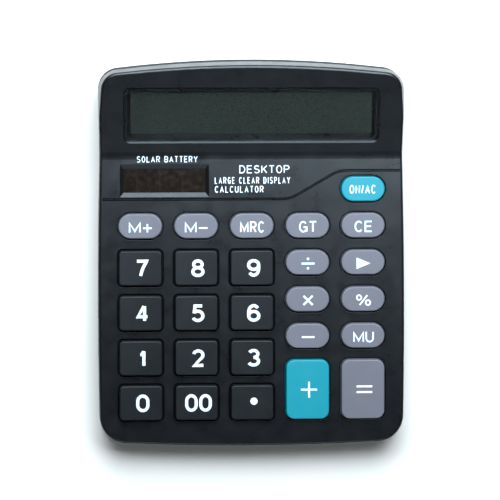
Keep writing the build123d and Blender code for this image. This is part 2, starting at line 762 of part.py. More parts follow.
with BuildPart() as battery_door:
    with BuildSketch(Plane.XY.offset(foot_height)):
        add(case_plan())
    extrude(amount=door_thickness + base_radius)
    fillet(battery_door.edges().group_by(Axis.Z)[0], base_radius)
    with BuildSketch(Plane.XY.offset(foot_height)):
        with Locations((0, trough_middle + door_clearance / 2)):
            Rectangle(2 * door_half, trough_length - door_clearance)
    extrude(amount=door_thickness, mode=Mode.INTERSECT)
    with BuildSketch(Plane.XY.offset(tongue_bottom)):
        with Locations((0, (door_front + back_y - door_tongue_setback) / 2)):
            Rectangle(2 * tongue_reach, back_y - door_tongue_setback - door_front)
    extrude(amount=door_tongue_thickness)
    with BuildSketch(Plane.XY.offset(foot_height)):
        with Locations((0, back_y - door_grip_inset)):
            with GridLocations(0, door_grip_pitch, 1, door_grip_count):
                SlotOverall(door_grip_width, door_grip_pitch / 2)
    extrude(amount=door_grip_depth, mode=Mode.SUBTRACT)
write(battery_door.part, "battery_door")

with BuildPart() as rubber_feet:
    with BuildSketch(Plane.XY):
        with Locations(*foot_points):
            Circle(foot_radius)
    extrude(amount=foot_height + foot_recess - touch)
    chamfer(rubber_feet.edges().group_by(Axis.Z)[0], 0.5)
write(rubber_feet.part, "rubber_feet")

case_screw = pan_screw(case_screw_head_radius, case_screw_head_height, case_screw_radius, case_screw_length)
with BuildPart() as case_screws:
    with Locations(*[(x, y, parting_z(y) - case_screw_web - touch) for x, y in case_screw_points]):
        add(case_screw)
write(case_screws.part, "case_screws")

# ---------------------------------------------------------------- keys
for key_name, (x, y, size, rise) in keys.items():
    outline = key_base(size, rise)
    dish_middle = rise + sqrt(key_dish_radius**2 - (size[0] / 2) ** 2)
    across = Plane(origin=deck.from_local_coords((x, y, dish_middle)), x_dir=(1, 0, 0), z_dir=deck.y_dir)
    with BuildPart() as key:
        with BuildSketch(deck):
            with Locations((x, y)):
                key_outline(*outline)
        extrude(amount=rise, taper=key_draft)
        with BuildSketch(across):
            Circle(key_dish_radius)
        extrude(amount=case_depth / 4, both=True, mode=Mode.SUBTRACT)
        top = key.faces().filter_by(GeomType.CYLINDER).sort_by(SortBy.AREA)[-1]
        fillet(top.edges(), key_edge_radius)
        with BuildSketch(deck.offset(flange_bottom)):
            with Locations((x, y)):
                key_outline(*outline)
        extrude(amount=-flange_bottom)
        with BuildSketch(deck.offset(flange_bottom)):
            with Locations((x, y)):
                key_outline(*grown(outline, key_flange))
        extrude(amount=key_flange_thickness)
        with BuildSketch(deck.offset(flange_bottom)):
            with Locations((x, y)):
                key_outline(*grown(outline, -key_wall))
        extrude(amount=rise - key_top_wall - flange_bottom, taper=key_draft, mode=Mode.SUBTRACT)
        with BuildSketch(deck.offset(stem_bottom)):
            with Locations((x, y)):
                Circle(stem_radius)
        extrude(amount=rise - key_wall - stem_bottom)
    write(key.part, f"key_{key_name}")

# ---------------------------------------------------------------- rubber sheet and circuit board
dome_height = crown_top - sheet_top
dome_slope = (dome_base_radius - dome_crown_radius) / dome_height
dome_hollow = crown_bottom - sheet_top
with BuildPart() as rubber_keypad:
    with BuildSketch(deck.offset(board_top + touch)):
        with Locations((0, (sheet_front + sheet_back) / 2)):
            RectangleRounded(2 * (board_half_width - sheet_inset), sheet_back - sheet_front, board_corner)
        with Locations((columns[4], (on_key_y + tongue_back) / 2)):
            RectangleRounded(2 * (dome_base_radius + sheet_border), tongue_back - on_key_y, sheet_border)
        with Locations((columns[4], (sheet_back - sheet_border + on_key_y) / 2)):
            Rectangle(2 * (dome_base_radius + sheet_border), on_key_y - sheet_back + 3 * sheet_border)
        with Locations(*[point for point in board_screw_points if point[1] < sheet_back]):
            Circle(small_boss_radius + key_gap, mode=Mode.SUBTRACT)
    extrude(amount=sheet_thickness - touch)
    with Locations(*on_plane(deck, key_points, sheet_top)):
        Cone(dome_base_radius, dome_crown_radius, dome_height, align=upright)
    with Locations(*on_plane(deck, key_points, board_top)):
        Cylinder(dome_base_radius - dome_wall, sheet_thickness, align=upright, mode=Mode.SUBTRACT)
    with Locations(*on_plane(deck, key_points, sheet_top)):
        Cone(
            dome_base_radius - dome_wall,
            dome_base_radius - dome_wall - dome_slope * dome_hollow,
            dome_hollow,
            align=upright,
            mode=Mode.SUBTRACT,
        )
write(rubber_keypad.part, "rubber_keypad")

with BuildPart() as contact_pills:
    with Locations(*on_plane(deck, key_points, pill_bottom)):
        Cylinder(pill_radius, pill_thickness - touch, align=upright)
write(contact_pills.part, "contact_pills")

with BuildPart() as main_pcb:
    with BuildSketch(deck.offset(board_top)):
        with Locations((0, (board_front + board_back) / 2)):
            RectangleRounded(2 * board_half_width, board_back - board_front, board_corner)
        with Locations(*board_screw_points):
            Circle(small_screw_radius + shank_clearance, mode=Mode.SUBTRACT)
        with Locations(*[point for point in case_screw_points if point[1] < 0]):
            Circle(case_boss_radius + 2 * shank_clearance, mode=Mode.SUBTRACT)
    extrude(amount=-board_thickness)
write(main_pcb.part, "main_pcb")

small_screw = pan_screw(
    small_screw_head_radius, small_screw_head_height, small_screw_radius, small_screw_length
)
with BuildPart() as pcb_screws:
    with Locations(*on_plane(deck, board_screw_points, board_bottom - touch)):
        add(small_screw)
write(pcb_screws.part, "pcb_screws")



def under_board(places, gap=0.0):
    """Places on the board's underside, as far below it as the gap."""
    return on_plane(deck, [(x, board_back - inset) for x, inset in places], board_bottom - touch - gap)


with BuildPart() as cob_chip:
    with Locations(*under_board([chip_place])):
        Cone(chip_top_radius, chip_radius, chip_height, align=hanging)
    fillet(cob_chip.edges().sort_by(Axis.Z)[0], chip_height * 0.75)
write(cob_chip.part, "cob_chip")

can_end = capacitor_place[0] + capacitor_length / 2
leads = [(can_end + lead_width, capacitor_place[1] + side * lead_spacing / 2) for side in (1, -1)]
with BuildPart() as electrolytic_capacitor:
    with Locations(*under_board([capacitor_place], capacitor_radius)):
        Cylinder(capacitor_radius, capacitor_length, rotation=(0, 90, 0))
    fillet(electrolytic_capacitor.edges(), 0.5)
    with Locations(*under_board([(x + lead_width / 2, inset) for x, inset in leads])):
        Box(lead_width, lead_width, capacitor_radius + lead_width / 2, align=hanging)
    with Locations(*under_board(leads, capacitor_radius)):
        Box(2 * lead_width, lead_width, lead_width)
    with Locations(*under_board([(x - lead_width, inset) for x, inset in leads], capacitor_radius)):
        Box(2 * lead_width, lead_width, lead_width)
write(electrolytic_capacitor.part, "electrolytic_capacitor")

with BuildPart() as ceramic_capacitors:
    with Locations(*under_board(ceramic_places)):
        Box(*ceramic_size, align=hanging)
write(ceramic_capacitors.part, "ceramic_capacitors")

with BuildPart() as diode:
    with Locations(*under_board([diode_place], diode_radius)):
        Cylinder(diode_radius, diode_length, rotation=(0, 90, 0))
        Cylinder(lead_width / 2, diode_length + 6 * lead_width, rotation=(0, 90, 0))
write(diode.part, "diode")

# ---------------------------------------------------------------- solar cell
with BuildPart() as solar_cell:
    with BuildSketch(deck.offset(solar_cell_bottom)):
        with Locations((solar_x, solar_y)):
            Rectangle(*solar_cell_size)
    extrude(amount=solar_cell_thickness)
write(solar_cell.part, "solar_cell")

with BuildPart() as solar_retainer:
    with BuildSketch(deck.offset(solar_frame_bottom)):
        with Locations((solar_x, solar_y)):
            RectangleRounded(*solar_frame_size, solar_frame_corner)
            Rectangle(
                solar_cell_size[0] - 2 * solar_frame_border,
                solar_cell_size[1] - 2 * solar_frame_border,
                mode=Mode.SUBTRACT,
            )
        with Locations((solar_x - solar_stake_x, solar_y), (solar_x + solar_stake_x, solar_y)):
            Circle(solar_stake_radius + touch, mode=Mode.SUBTRACT)
    extrude(amount=solar_frame_thickness)
write(solar_retainer.part, "solar_retainer")

with BuildPart() as solar_wires:
    for side in (1, -1):
        pad_x = solar_x + side * solar_wire_spread
        route = [
            (pad_x, solar_y - 1.0, solar_cell_bottom - touch),
            (pad_x + side * solar_wire_reach / 2, solar_y - 1.4, (solar_cell_bottom + board_top) / 2),
            (pad_x + side * solar_wire_reach, solar_y - 1.8, board_top + touch),
        ]
        add(wire([deck.from_local_coords(point) for point in route], -deck.z_dir, -deck.z_dir, wire_radius))
write(solar_wires.part, "solar_wires")

# ---------------------------------------------------------------- display
with BuildPart() as display_lens:
    with BuildSketch(head.offset(touch - window_recess)):
        with Locations((0, window_v)):
            RectangleRounded(*grown((*window_size, window_corner_radius), -lens_clearance))
    extrude(amount=lens_thickness)
write(display_lens.part, "display_lens")

with BuildPart() as lcd_gasket:
    with BuildSketch(head.offset(glass_top + touch)):
        with Locations((0, window_v)):
            Rectangle(*glass_size)
            Rectangle(*sight_size, mode=Mode.SUBTRACT)
    extrude(amount=gasket_thickness - 2 * touch)
write(lcd_gasket.part, "lcd_gasket")

with BuildPart() as front_polarizer:
    with BuildSketch(head.offset(glass_top)):
        with Locations((0, window_v)):
            Rectangle(sight_size[0] - polarizer_gap, sight_size[1] - polarizer_gap)
    extrude(amount=polarizer_thickness)
write(front_polarizer.part, "front_polarizer")

with BuildPart() as lcd_front_glass:
    with BuildSketch(head.offset(glass_split)):
        with Locations((0, window_v - glass_ledge / 2)):
            Rectangle(glass_size[0], glass_size[1] + glass_ledge)
    extrude(amount=glass_thickness - touch)
write(lcd_front_glass.part, "lcd_front_glass")

with BuildPart() as lcd_rear_glass:
    with BuildSketch(head.offset(glass_bottom)):
        with Locations((0, window_v)):
            Rectangle(*glass_size)
    extrude(amount=glass_thickness - touch)
write(lcd_rear_glass.part, "lcd_rear_glass")

with BuildPart() as reflector_film:
    with BuildSketch(head.offset(film_bottom)):
        with Locations((0, window_v)):
            Rectangle(glass_size[0] - 1.0, glass_size[1] - 1.0)
    extrude(amount=polarizer_thickness - touch)
write(reflector_film.part, "reflector_film")

with BuildPart() as lcd_retainer:
    with BuildSketch(head.offset(retainer_bottom)):
        with Locations((0, window_v)):
            RectangleRounded(*retainer_size, 2.0)
            with GridLocations(retainer_size[0] / 3 - 3.0, 0, 3, 1):
                RectangleRounded(
                    retainer_size[0] / 3 - 3.0 - retainer_bar,
                    retainer_size[1] - 2 * retainer_bar,
                    1.5,
                    mode=Mode.SUBTRACT,
                )
        with Locations(*retainer_screw_points):
            Circle(small_screw_radius + shank_clearance, mode=Mode.SUBTRACT)
    extrude(amount=retainer_thickness - touch)
    with BuildSketch(Plane.XY):
        with Locations(*case_screw_points):
            Circle(case_boss_radius + shank_clearance)
    extrude(amount=block_height, mode=Mode.SUBTRACT)
write(lcd_retainer.part, "lcd_retainer")

with BuildPart() as lcd_retainer_screws:
    with Locations(*on_plane(head, retainer_screw_points, retainer_bottom - touch)):
        add(small_screw)
write(lcd_retainer_screws.part, "lcd_retainer_screws")

ribbon_top = glass_split - touch - ribbon_thickness / 2
ribbon_foot_depth = board_top + touch + ribbon_thickness / 2
ribbon_route = [
    head.from_local_coords((0, glass_front_v + ribbon_overlap, ribbon_top)),
    head.from_local_coords((0, glass_front_v - 1.6, ribbon_top)),
    deck.from_local_coords((0, board_back + 1.4, ribbon_foot_depth)),
    deck.from_local_coords((0, board_back - ribbon_foot, ribbon_foot_depth)),
]
with BuildPart() as lcd_ribbon:
    with BuildLine() as ribbon_path:
        FilletPolyline(*ribbon_route, radius=2.0)
    with BuildSketch(Plane(origin=ribbon_route[0], x_dir=(1, 0, 0), z_dir=ribbon_path.line % 0)):
        Rectangle(glass_size[0] - 2 * ribbon_inset, ribbon_thickness)
    sweep()
write(lcd_ribbon.part, "lcd_ribbon")

# ---------------------------------------------------------------- battery and its contacts
with BuildPart() as battery_cell:
    with Locations((cell_end - cell_length / 2, bay_y, cell_z)):
        Cylinder(cell_radius, cell_length, rotation=(0, 90, 0))
    fillet(battery_cell.edges(), 0.6)
write(battery_cell.part, "battery_cell")

with BuildPart() as battery_cap:
    with Locations((cell_end + cell_nub_length / 2, bay_y, cell_z)):
        Cylinder(cell_nub_radius, cell_nub_length - 2 * touch, rotation=(0, 90, 0))
write(battery_cap.part, "battery_cap")


def contact(side):
    """A sprung steel plate on one end wall of the bay, with a tab that reaches out through the wall."""
    with BuildPart() as plate:
        with Locations((side * (bay_end - contact_thickness / 2), bay_y, cell_z)):
            Box(contact_thickness - touch, contact_size, contact_size)
        with Locations((side * (bay_end - contact_thickness + contact_tab_length / 2), bay_y, tab_z)):
            Box(contact_tab_length, contact_tab_width, contact_thickness)
    return plate.part


with BuildPart() as battery_positive_contact:
    add(contact(1))
write(battery_positive_contact.part, "battery_positive_contact")

coil_start = -bay_end + contact_thickness + spring_wire_radius
coil_length = cell_end - cell_length - coil_start - spring_wire_radius - touch
with BuildPart() as battery_spring:
    add(contact(-1))
    with BuildLine() as coil:
        Helix(coil_length / spring_turns, coil_length, spring_radius, (coil_start, bay_y, cell_z), (1, 0, 0))
    with BuildSketch(Plane(origin=coil.line @ 0, z_dir=coil.line % 0)):
        Circle(spring_wire_radius)
    sweep(is_frenet=True)
write(battery_spring.part, "battery_spring")

with BuildPart() as battery_wires:
    for side in (1, -1):
        tab_x = bay_end + contact_tab_length - contact_thickness - 0.8
        wire_z = tab_z + contact_thickness / 2 + wire_radius + touch
        landing = deck.from_local_coords((side * 23.5, board_back - 3.0, board_bottom - touch))
        route = [
            (side * tab_x, bay_y + 0.9, wire_z),
            (side * tab_x, bay_y - 3.0, wire_z),
            (side * (tab_x - 1.0), bay_y - 16.0, wire_z - 3.5),
            (landing.X + side * 1.0, landing.Y + 3.6, landing.Z - 2.2),
            tuple(landing),
        ]
        add(wire(route, (0, -1, 0), deck.z_dir, wire_radius))
write(battery_wires.part, "battery_wires")
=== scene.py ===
"""Looks of the desk calculator: materials, printed legends, floor, lights and camera."""

import json
import math

import bmesh
import bpy
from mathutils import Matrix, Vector
from mathutils.bvhtree import BVHTree
from mathutils.geometry import delaunay_2d_cdt


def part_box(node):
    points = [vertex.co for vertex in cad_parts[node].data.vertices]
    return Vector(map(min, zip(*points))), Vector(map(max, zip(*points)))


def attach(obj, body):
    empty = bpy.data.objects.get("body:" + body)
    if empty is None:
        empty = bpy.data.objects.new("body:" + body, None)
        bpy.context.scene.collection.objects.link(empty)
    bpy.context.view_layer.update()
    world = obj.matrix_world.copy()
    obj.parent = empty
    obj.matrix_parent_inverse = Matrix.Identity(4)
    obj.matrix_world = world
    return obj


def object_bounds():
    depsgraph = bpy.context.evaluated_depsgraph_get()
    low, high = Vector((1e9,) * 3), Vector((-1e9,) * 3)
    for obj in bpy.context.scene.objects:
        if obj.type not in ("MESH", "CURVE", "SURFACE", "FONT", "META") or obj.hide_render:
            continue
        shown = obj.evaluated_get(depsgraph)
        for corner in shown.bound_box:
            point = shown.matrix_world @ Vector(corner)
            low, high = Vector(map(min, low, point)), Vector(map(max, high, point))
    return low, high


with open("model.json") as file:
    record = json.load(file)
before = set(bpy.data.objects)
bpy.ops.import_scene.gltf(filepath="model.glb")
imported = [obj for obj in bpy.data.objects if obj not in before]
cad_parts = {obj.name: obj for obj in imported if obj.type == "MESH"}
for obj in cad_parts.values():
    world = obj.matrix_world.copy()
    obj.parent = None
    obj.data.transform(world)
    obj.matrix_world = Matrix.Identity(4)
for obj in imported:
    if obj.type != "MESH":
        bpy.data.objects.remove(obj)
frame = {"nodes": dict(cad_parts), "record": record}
cad_low, cad_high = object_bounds()

MM = 0.001
nodes = frame["nodes"]
key_names = sorted(name for name in nodes if name.startswith("key_"))
joints = {joint["name"]: joint for joint in frame["record"]["behaviour"]["joints"]}
press = Vector(joints["press_5"]["axis"])
deck_slope = math.atan2(press.y, -press.z)


# ---------------------------------------------------------------- materials
CASE_COLOUR = (0.0040, 0.0040, 0.0045)
NUMBER_COLOUR = (0.0030, 0.0032, 0.0034)
GREY_COLOUR = (0.150, 0.138, 0.155)
TEAL_COLOUR = (0.002, 0.25, 0.30)
INK_COLOUR = (0.90, 0.93, 0.96)
LCD_COLOUR = (0.027, 0.033, 0.025)
SOLAR_COLOUR = (0.008, 0.004, 0.002)
SOLAR_STRIPS = 4
WAVE_PERIOD = 2 * math.pi / 20  # of Blender's wave texture at a scale of 1


class Material:
    """One Principled material: constants go on the shader's own sockets, and what varies comes from nodes."""

    def __init__(self, name, **constants):
        self.made = bpy.data.materials.new(name)
        self.made.use_nodes = True
        self.tree = self.made.node_tree
        self.shader = self.tree.nodes["Principled BSDF"]
        for socket, value in constants.items():
            self.shader.inputs[socket.replace("_", " ")].default_value = value

    def node(self, kind, **settings):
        node = self.tree.nodes.new(kind)
        for name, value in settings.items():
            setattr(node, name, value)
        return node

    def link(self, source, target):
        self.tree.links.new(source, target)

    def coordinates(self, stretch=(1, 1, 1)):
        """Places in the object's own metres, so a pattern keeps its real size and moves with its body."""
        texture = self.node("ShaderNodeTexCoord")
        mapping = self.node("ShaderNodeMapping")
        mapping.inputs["Scale"].default_value = stretch
        self.link(texture.outputs["Object"], mapping.inputs["Vector"])
        return mapping.outputs["Vector"]

    def noise(self, feature, detail=2.0, stretch=(1, 1, 1)):
        """Noise whose features are about this many metres across."""
        noise = self.node("ShaderNodeTexNoise")
        noise.inputs["Scale"].default_value = 1 / feature
        noise.inputs["Detail"].default_value = detail
        self.link(self.coordinates(stretch), noise.inputs["Vector"])
        return noise.outputs["Fac"]

    def spread(self, value, low, high, start=0.3, end=0.7):
        """Value from start to end, mapped to low to high."""
        spread = self.node("ShaderNodeMapRange")
        for socket, number in zip(("From Min", "From Max", "To Min", "To Max"), (start, end, low, high)):
            spread.inputs[socket].default_value = number
        self.link(value, spread.inputs["Value"])
        return spread.outputs["Result"]

    def blend(self, factor, first, second):
        """A colour between first and second, each a colour or an output."""
        mix = self.node("ShaderNodeMix", data_type="RGBA")
        self.link(factor, mix.inputs["Factor"])
        for socket, value in ((mix.inputs[6], first), (mix.inputs[7], second)):
            if isinstance(value, tuple):
                socket.default_value = (*value, 1.0)
            else:
                self.link(value, socket)
        return mix.outputs[2]

    def colour(self, output):
        self.link(output, self.shader.inputs["Base Color"])

    def roughness(self, output):
        self.link(output, self.shader.inputs["Roughness"])

    def bump(self, height, depth, strength=1.0):
        """Relief this many metres deep."""
        bump = self.node("ShaderNodeBump")
        bump.inputs["Strength"].default_value = strength
        bump.inputs["Distance"].default_value = depth
        self.link(height, bump.inputs["Height"])
        self.link(bump.outputs["Normal"], self.shader.inputs["Normal"])


def shade(colour, amount):
    return tuple(min(1.0, channel * amount) for channel in colour)


def moulded(name, colour, roughness, grain=0.00022, depth=0.000012, mottle=0.10, **constants):
    """Injection-moulded plastic or rubber: an even colour, faint flow marks and a fine spark-eroded grain."""
    material = Material(name, **constants)
    flow = material.noise(0.02, 3.0)
    material.colour(material.blend(flow, shade(colour, 1 - mottle), shade(colour, 1 + mottle)))
    material.roughness(material.spread(material.noise(0.006, 4.0), roughness - 0.04, roughness + 0.04))
    material.bump(material.noise(grain, 2.0), depth)
    return material.made


def metal(name, colour, roughness, stretch=(1, 1, 1)):
    """Plated or drawn metal with fine marks, which run along one way if stretched."""
    material = Material(name, Metallic=1.0)
    marks = material.noise(0.0004, 3.0, stretch)
    material.colour(material.blend(marks, shade(colour, 0.82), colour))
    material.roughness(material.spread(marks, roughness - 0.08, roughness + 0.1))
    material.bump(marks, 0.000006)
    return material.made


def clear_lens():
    """A clear moulded window with a polished face and the faintest ripple."""
    material = Material("lens_clear", Base_Color=(0.93, 0.96, 0.96, 1), Transmission_Weight=1.0, IOR=1.49)
    material.roughness(material.spread(material.noise(0.004, 3.0), 0.02, 0.06))
    material.bump(material.noise(0.015, 1.0), 0.000004)
    return material.made


def lcd_face():
    """The display as it looks when off: a grey-green film with a faint uneven cast."""
    material = Material("lcd_face", IOR=1.5)
    cast = material.noise(0.03, 2.0)
    material.colour(material.blend(cast, LCD_COLOUR, shade(LCD_COLOUR, 1.12)))
    material.roughness(material.spread(material.noise(0.0005, 2.0), 0.24, 0.34))
    material.bump(material.noise(0.00012, 1.0), 0.000002)
    return material.made


def lcd_glass():
    """Thin display glass, faintly green at its cut edges."""
    material = Material("lcd_glass", Transmission_Weight=0.7, IOR=1.52)
    material.colour(material.blend(material.noise(0.02), (0.45, 0.55, 0.5), (0.5, 0.6, 0.55)))
    material.roughness(material.spread(material.noise(0.003), 0.03, 0.08))
    return material.made


def solar_film():
    """Amorphous silicon on glass: dark brown strips side by side, with thin lighter lines between them."""
    material = Material("solar_film", IOR=1.5, Coat_Weight=0.5, Coat_Roughness=0.06)
    low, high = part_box("solar_cell")
    strip = (high.x - low.x) / SOLAR_STRIPS
    wave = material.node("ShaderNodeTexWave", bands_direction="X", wave_profile="SAW")
    wave.inputs["Scale"].default_value = WAVE_PERIOD / strip
    material.link(material.coordinates(), wave.inputs["Vector"])
    line = material.spread(wave.outputs["Fac"], 0.0, 1.0, 0.96, 0.97)
    body = material.blend(material.noise(0.008), SOLAR_COLOUR, shade(SOLAR_COLOUR, 1.35))
    material.colour(material.blend(line, body, shade(SOLAR_COLOUR, 3.0)))
    material.roughness(material.spread(material.noise(0.002), 0.12, 0.22))
    return material.made


def printed_ink(name, colour):
    """Pad-printed ink: nearly even, a little drier in places."""
    material = Material(name, IOR=1.45)
    material.colour(material.blend(material.noise(0.0006, 3.0), shade(colour, 0.94), colour))
    material.roughness(material.spread(material.noise(0.0004), 0.42, 0.55))
    material.bump(material.noise(0.0002), 0.000003)
    return material.made


def circuit_board():
    """Phenolic paper board under green resist, with copper tracks showing through as paler lines."""
    material = Material("circuit_board", IOR=1.5)
    tracks = material.node("ShaderNodeTexVoronoi", feature="DISTANCE_TO_EDGE", distance="MANHATTAN")
    tracks.inputs["Scale"].default_value = 1 / 0.006
    material.link(material.coordinates(), tracks.inputs["Vector"])
    line = material.spread(tracks.outputs["Distance"], 1.0, 0.0, 0.04, 0.09)
    base = material.blend(material.noise(0.001, 4.0), (0.05, 0.13, 0.045), (0.065, 0.16, 0.055))
    material.colour(material.blend(line, base, (0.12, 0.26, 0.09)))
    material.roughness(material.spread(material.noise(0.002), 0.35, 0.5))
    material.bump(line, 0.00003)
    return material.made


def striped_sleeve(name, colour, stripe, axis_stretch):
    """A shrink sleeve with one pale stripe along it."""
    material = Material(name, IOR=1.5)
    band = material.spread(material.noise(0.05, 0.0, axis_stretch), 0.0, 1.0, 0.56, 0.58)
    material.colour(material.blend(band, colour, stripe))
    material.roughness(material.spread(material.noise(0.001), 0.25, 0.35))
    material.bump(material.noise(0.0008), 0.00001)
    return material.made


case_plastic = moulded("case_plastic", CASE_COLOUR, 0.30, IOR=1.5)
base_plastic = moulded("base_plastic", shade(CASE_COLOUR, 1.2), 0.5, grain=0.0004, depth=0.00003, IOR=1.5)
number_plastic = moulded("number_plastic", NUMBER_COLOUR, 0.46, IOR=1.4)
grey_plastic = moulded("grey_plastic", GREY_COLOUR, 0.42, mottle=0.03, IOR=1.5)
teal_plastic = moulded("teal_plastic", TEAL_COLOUR, 0.42, mottle=0.03, IOR=1.5)
ink = printed_ink("legend_ink", INK_COLOUR)
inner_plastic = moulded("inner_plastic", (0.03, 0.03, 0.032), 0.5, IOR=1.5)
foam = moulded("gasket_foam", (0.012, 0.012, 0.012), 0.85, grain=0.0005, depth=0.0001)
silicone = moulded("silicone_sheet", (0.42, 0.42, 0.40), 0.6, grain=0.0006, depth=0.00003)
plated = metal("plated_steel", (0.62, 0.61, 0.58), 0.3)

materials = {
    "top_case": case_plastic,
    "bottom_case": base_plastic,
    "battery_door": base_plastic,
    "display_lens": clear_lens(),
    "front_polarizer": lcd_face(),
    "reflector_film": metal("reflector", (0.5, 0.52, 0.5), 0.4),
    "lcd_gasket": foam,
    "lcd_retainer": inner_plastic,
    "solar_retainer": inner_plastic,
    "solar_cell": solar_film(),
    "rubber_feet": moulded("foot_rubber", (0.018, 0.018, 0.018), 0.8, grain=0.0006, depth=0.00006),
    "case_screws": metal("black_screw_steel", (0.10, 0.10, 0.10), 0.4),
    "rubber_keypad": silicone,
    "contact_pills": moulded("carbon_rubber", (0.01, 0.01, 0.01), 0.7),
    "main_pcb": circuit_board(),
    "cob_chip": moulded("chip_epoxy", (0.008, 0.008, 0.008), 0.2, grain=0.002, depth=0.0001),
    "electrolytic_capacitor": striped_sleeve(
        "capacitor_sleeve", (0.01, 0.01, 0.05), (0.5, 0.5, 0.55), (0.1, 1, 1)
    ),
    "ceramic_capacitors": moulded("ceramic_body", (0.35, 0.22, 0.12), 0.5),
    "diode": moulded("diode_glass", (0.5, 0.12, 0.03), 0.15),
    "lcd_ribbon": moulded("ribbon_film", (0.20, 0.12, 0.05), 0.35, grain=0.0008),
    "solar_wires": moulded("wire_sleeve", (0.35, 0.02, 0.02), 0.4),
    "battery_wires": moulded("battery_wire_sleeve", (0.03, 0.03, 0.03), 0.4),
    "battery_cell": striped_sleeve("cell_sleeve", (0.02, 0.05, 0.03), (0.45, 0.35, 0.08), (1, 0.1, 0.1)),
}
for name in ("pcb_screws", "lcd_retainer_screws"):
    materials[name] = metal(f"{name}_steel", (0.45, 0.44, 0.42), 0.35)
for name in ("battery_cap", "battery_positive_contact", "battery_spring"):
    materials[name] = plated
for name in ("lcd_front_glass", "lcd_rear_glass"):
    materials[name] = lcd_glass()
for name in key_names:
    materials[name] = grey_plastic
for name in ["key_point", *[f"key_{n}" for n in (0, "00", 1, 2, 3, 4, 5, 6, 7, 8, 9)]]:
    materials[name] = number_plastic
for name in ("key_on_ac", "key_plus"):
    materials[name] = teal_plastic

for name, node in nodes.items():
    node.data.materials.clear()
    node.data.materials.append(materials[name])

# ---------------------------------------------------------------- printed legends
# Sizes are in mm. Glyphs are centrelines in a box from 0 to 1 each way.
# A path that ends where it starts is a closed ring.
INK_LIFT = 0.02
INK_THICKNESS = 0.05
CLEAR_OF_CASE = 10


def arc(x, y, across, up, start, end):
    """Points along part of an ellipse about x, y, between two angles in degrees."""
    steps = max(4, round(abs(end - start) / 12))
    turns = [math.radians(start + (end - start) * n / steps) for n in range(steps + 1)]
    return [(x + across * math.cos(turn), y + up * math.sin(turn)) for turn in turns]


def bend(start, pull, end, steps=8):
    """Points along a curve from start to end, drawn towards pull."""
    points = []
    for n in range(steps + 1):
        t = n / steps
        weights = ((1 - t) ** 2, 2 * t * (1 - t), t * t)
        points.append(tuple(sum(w * p[axis] for w, p in zip(weights, (start, pull, end))) for axis in (0, 1)))
    return points


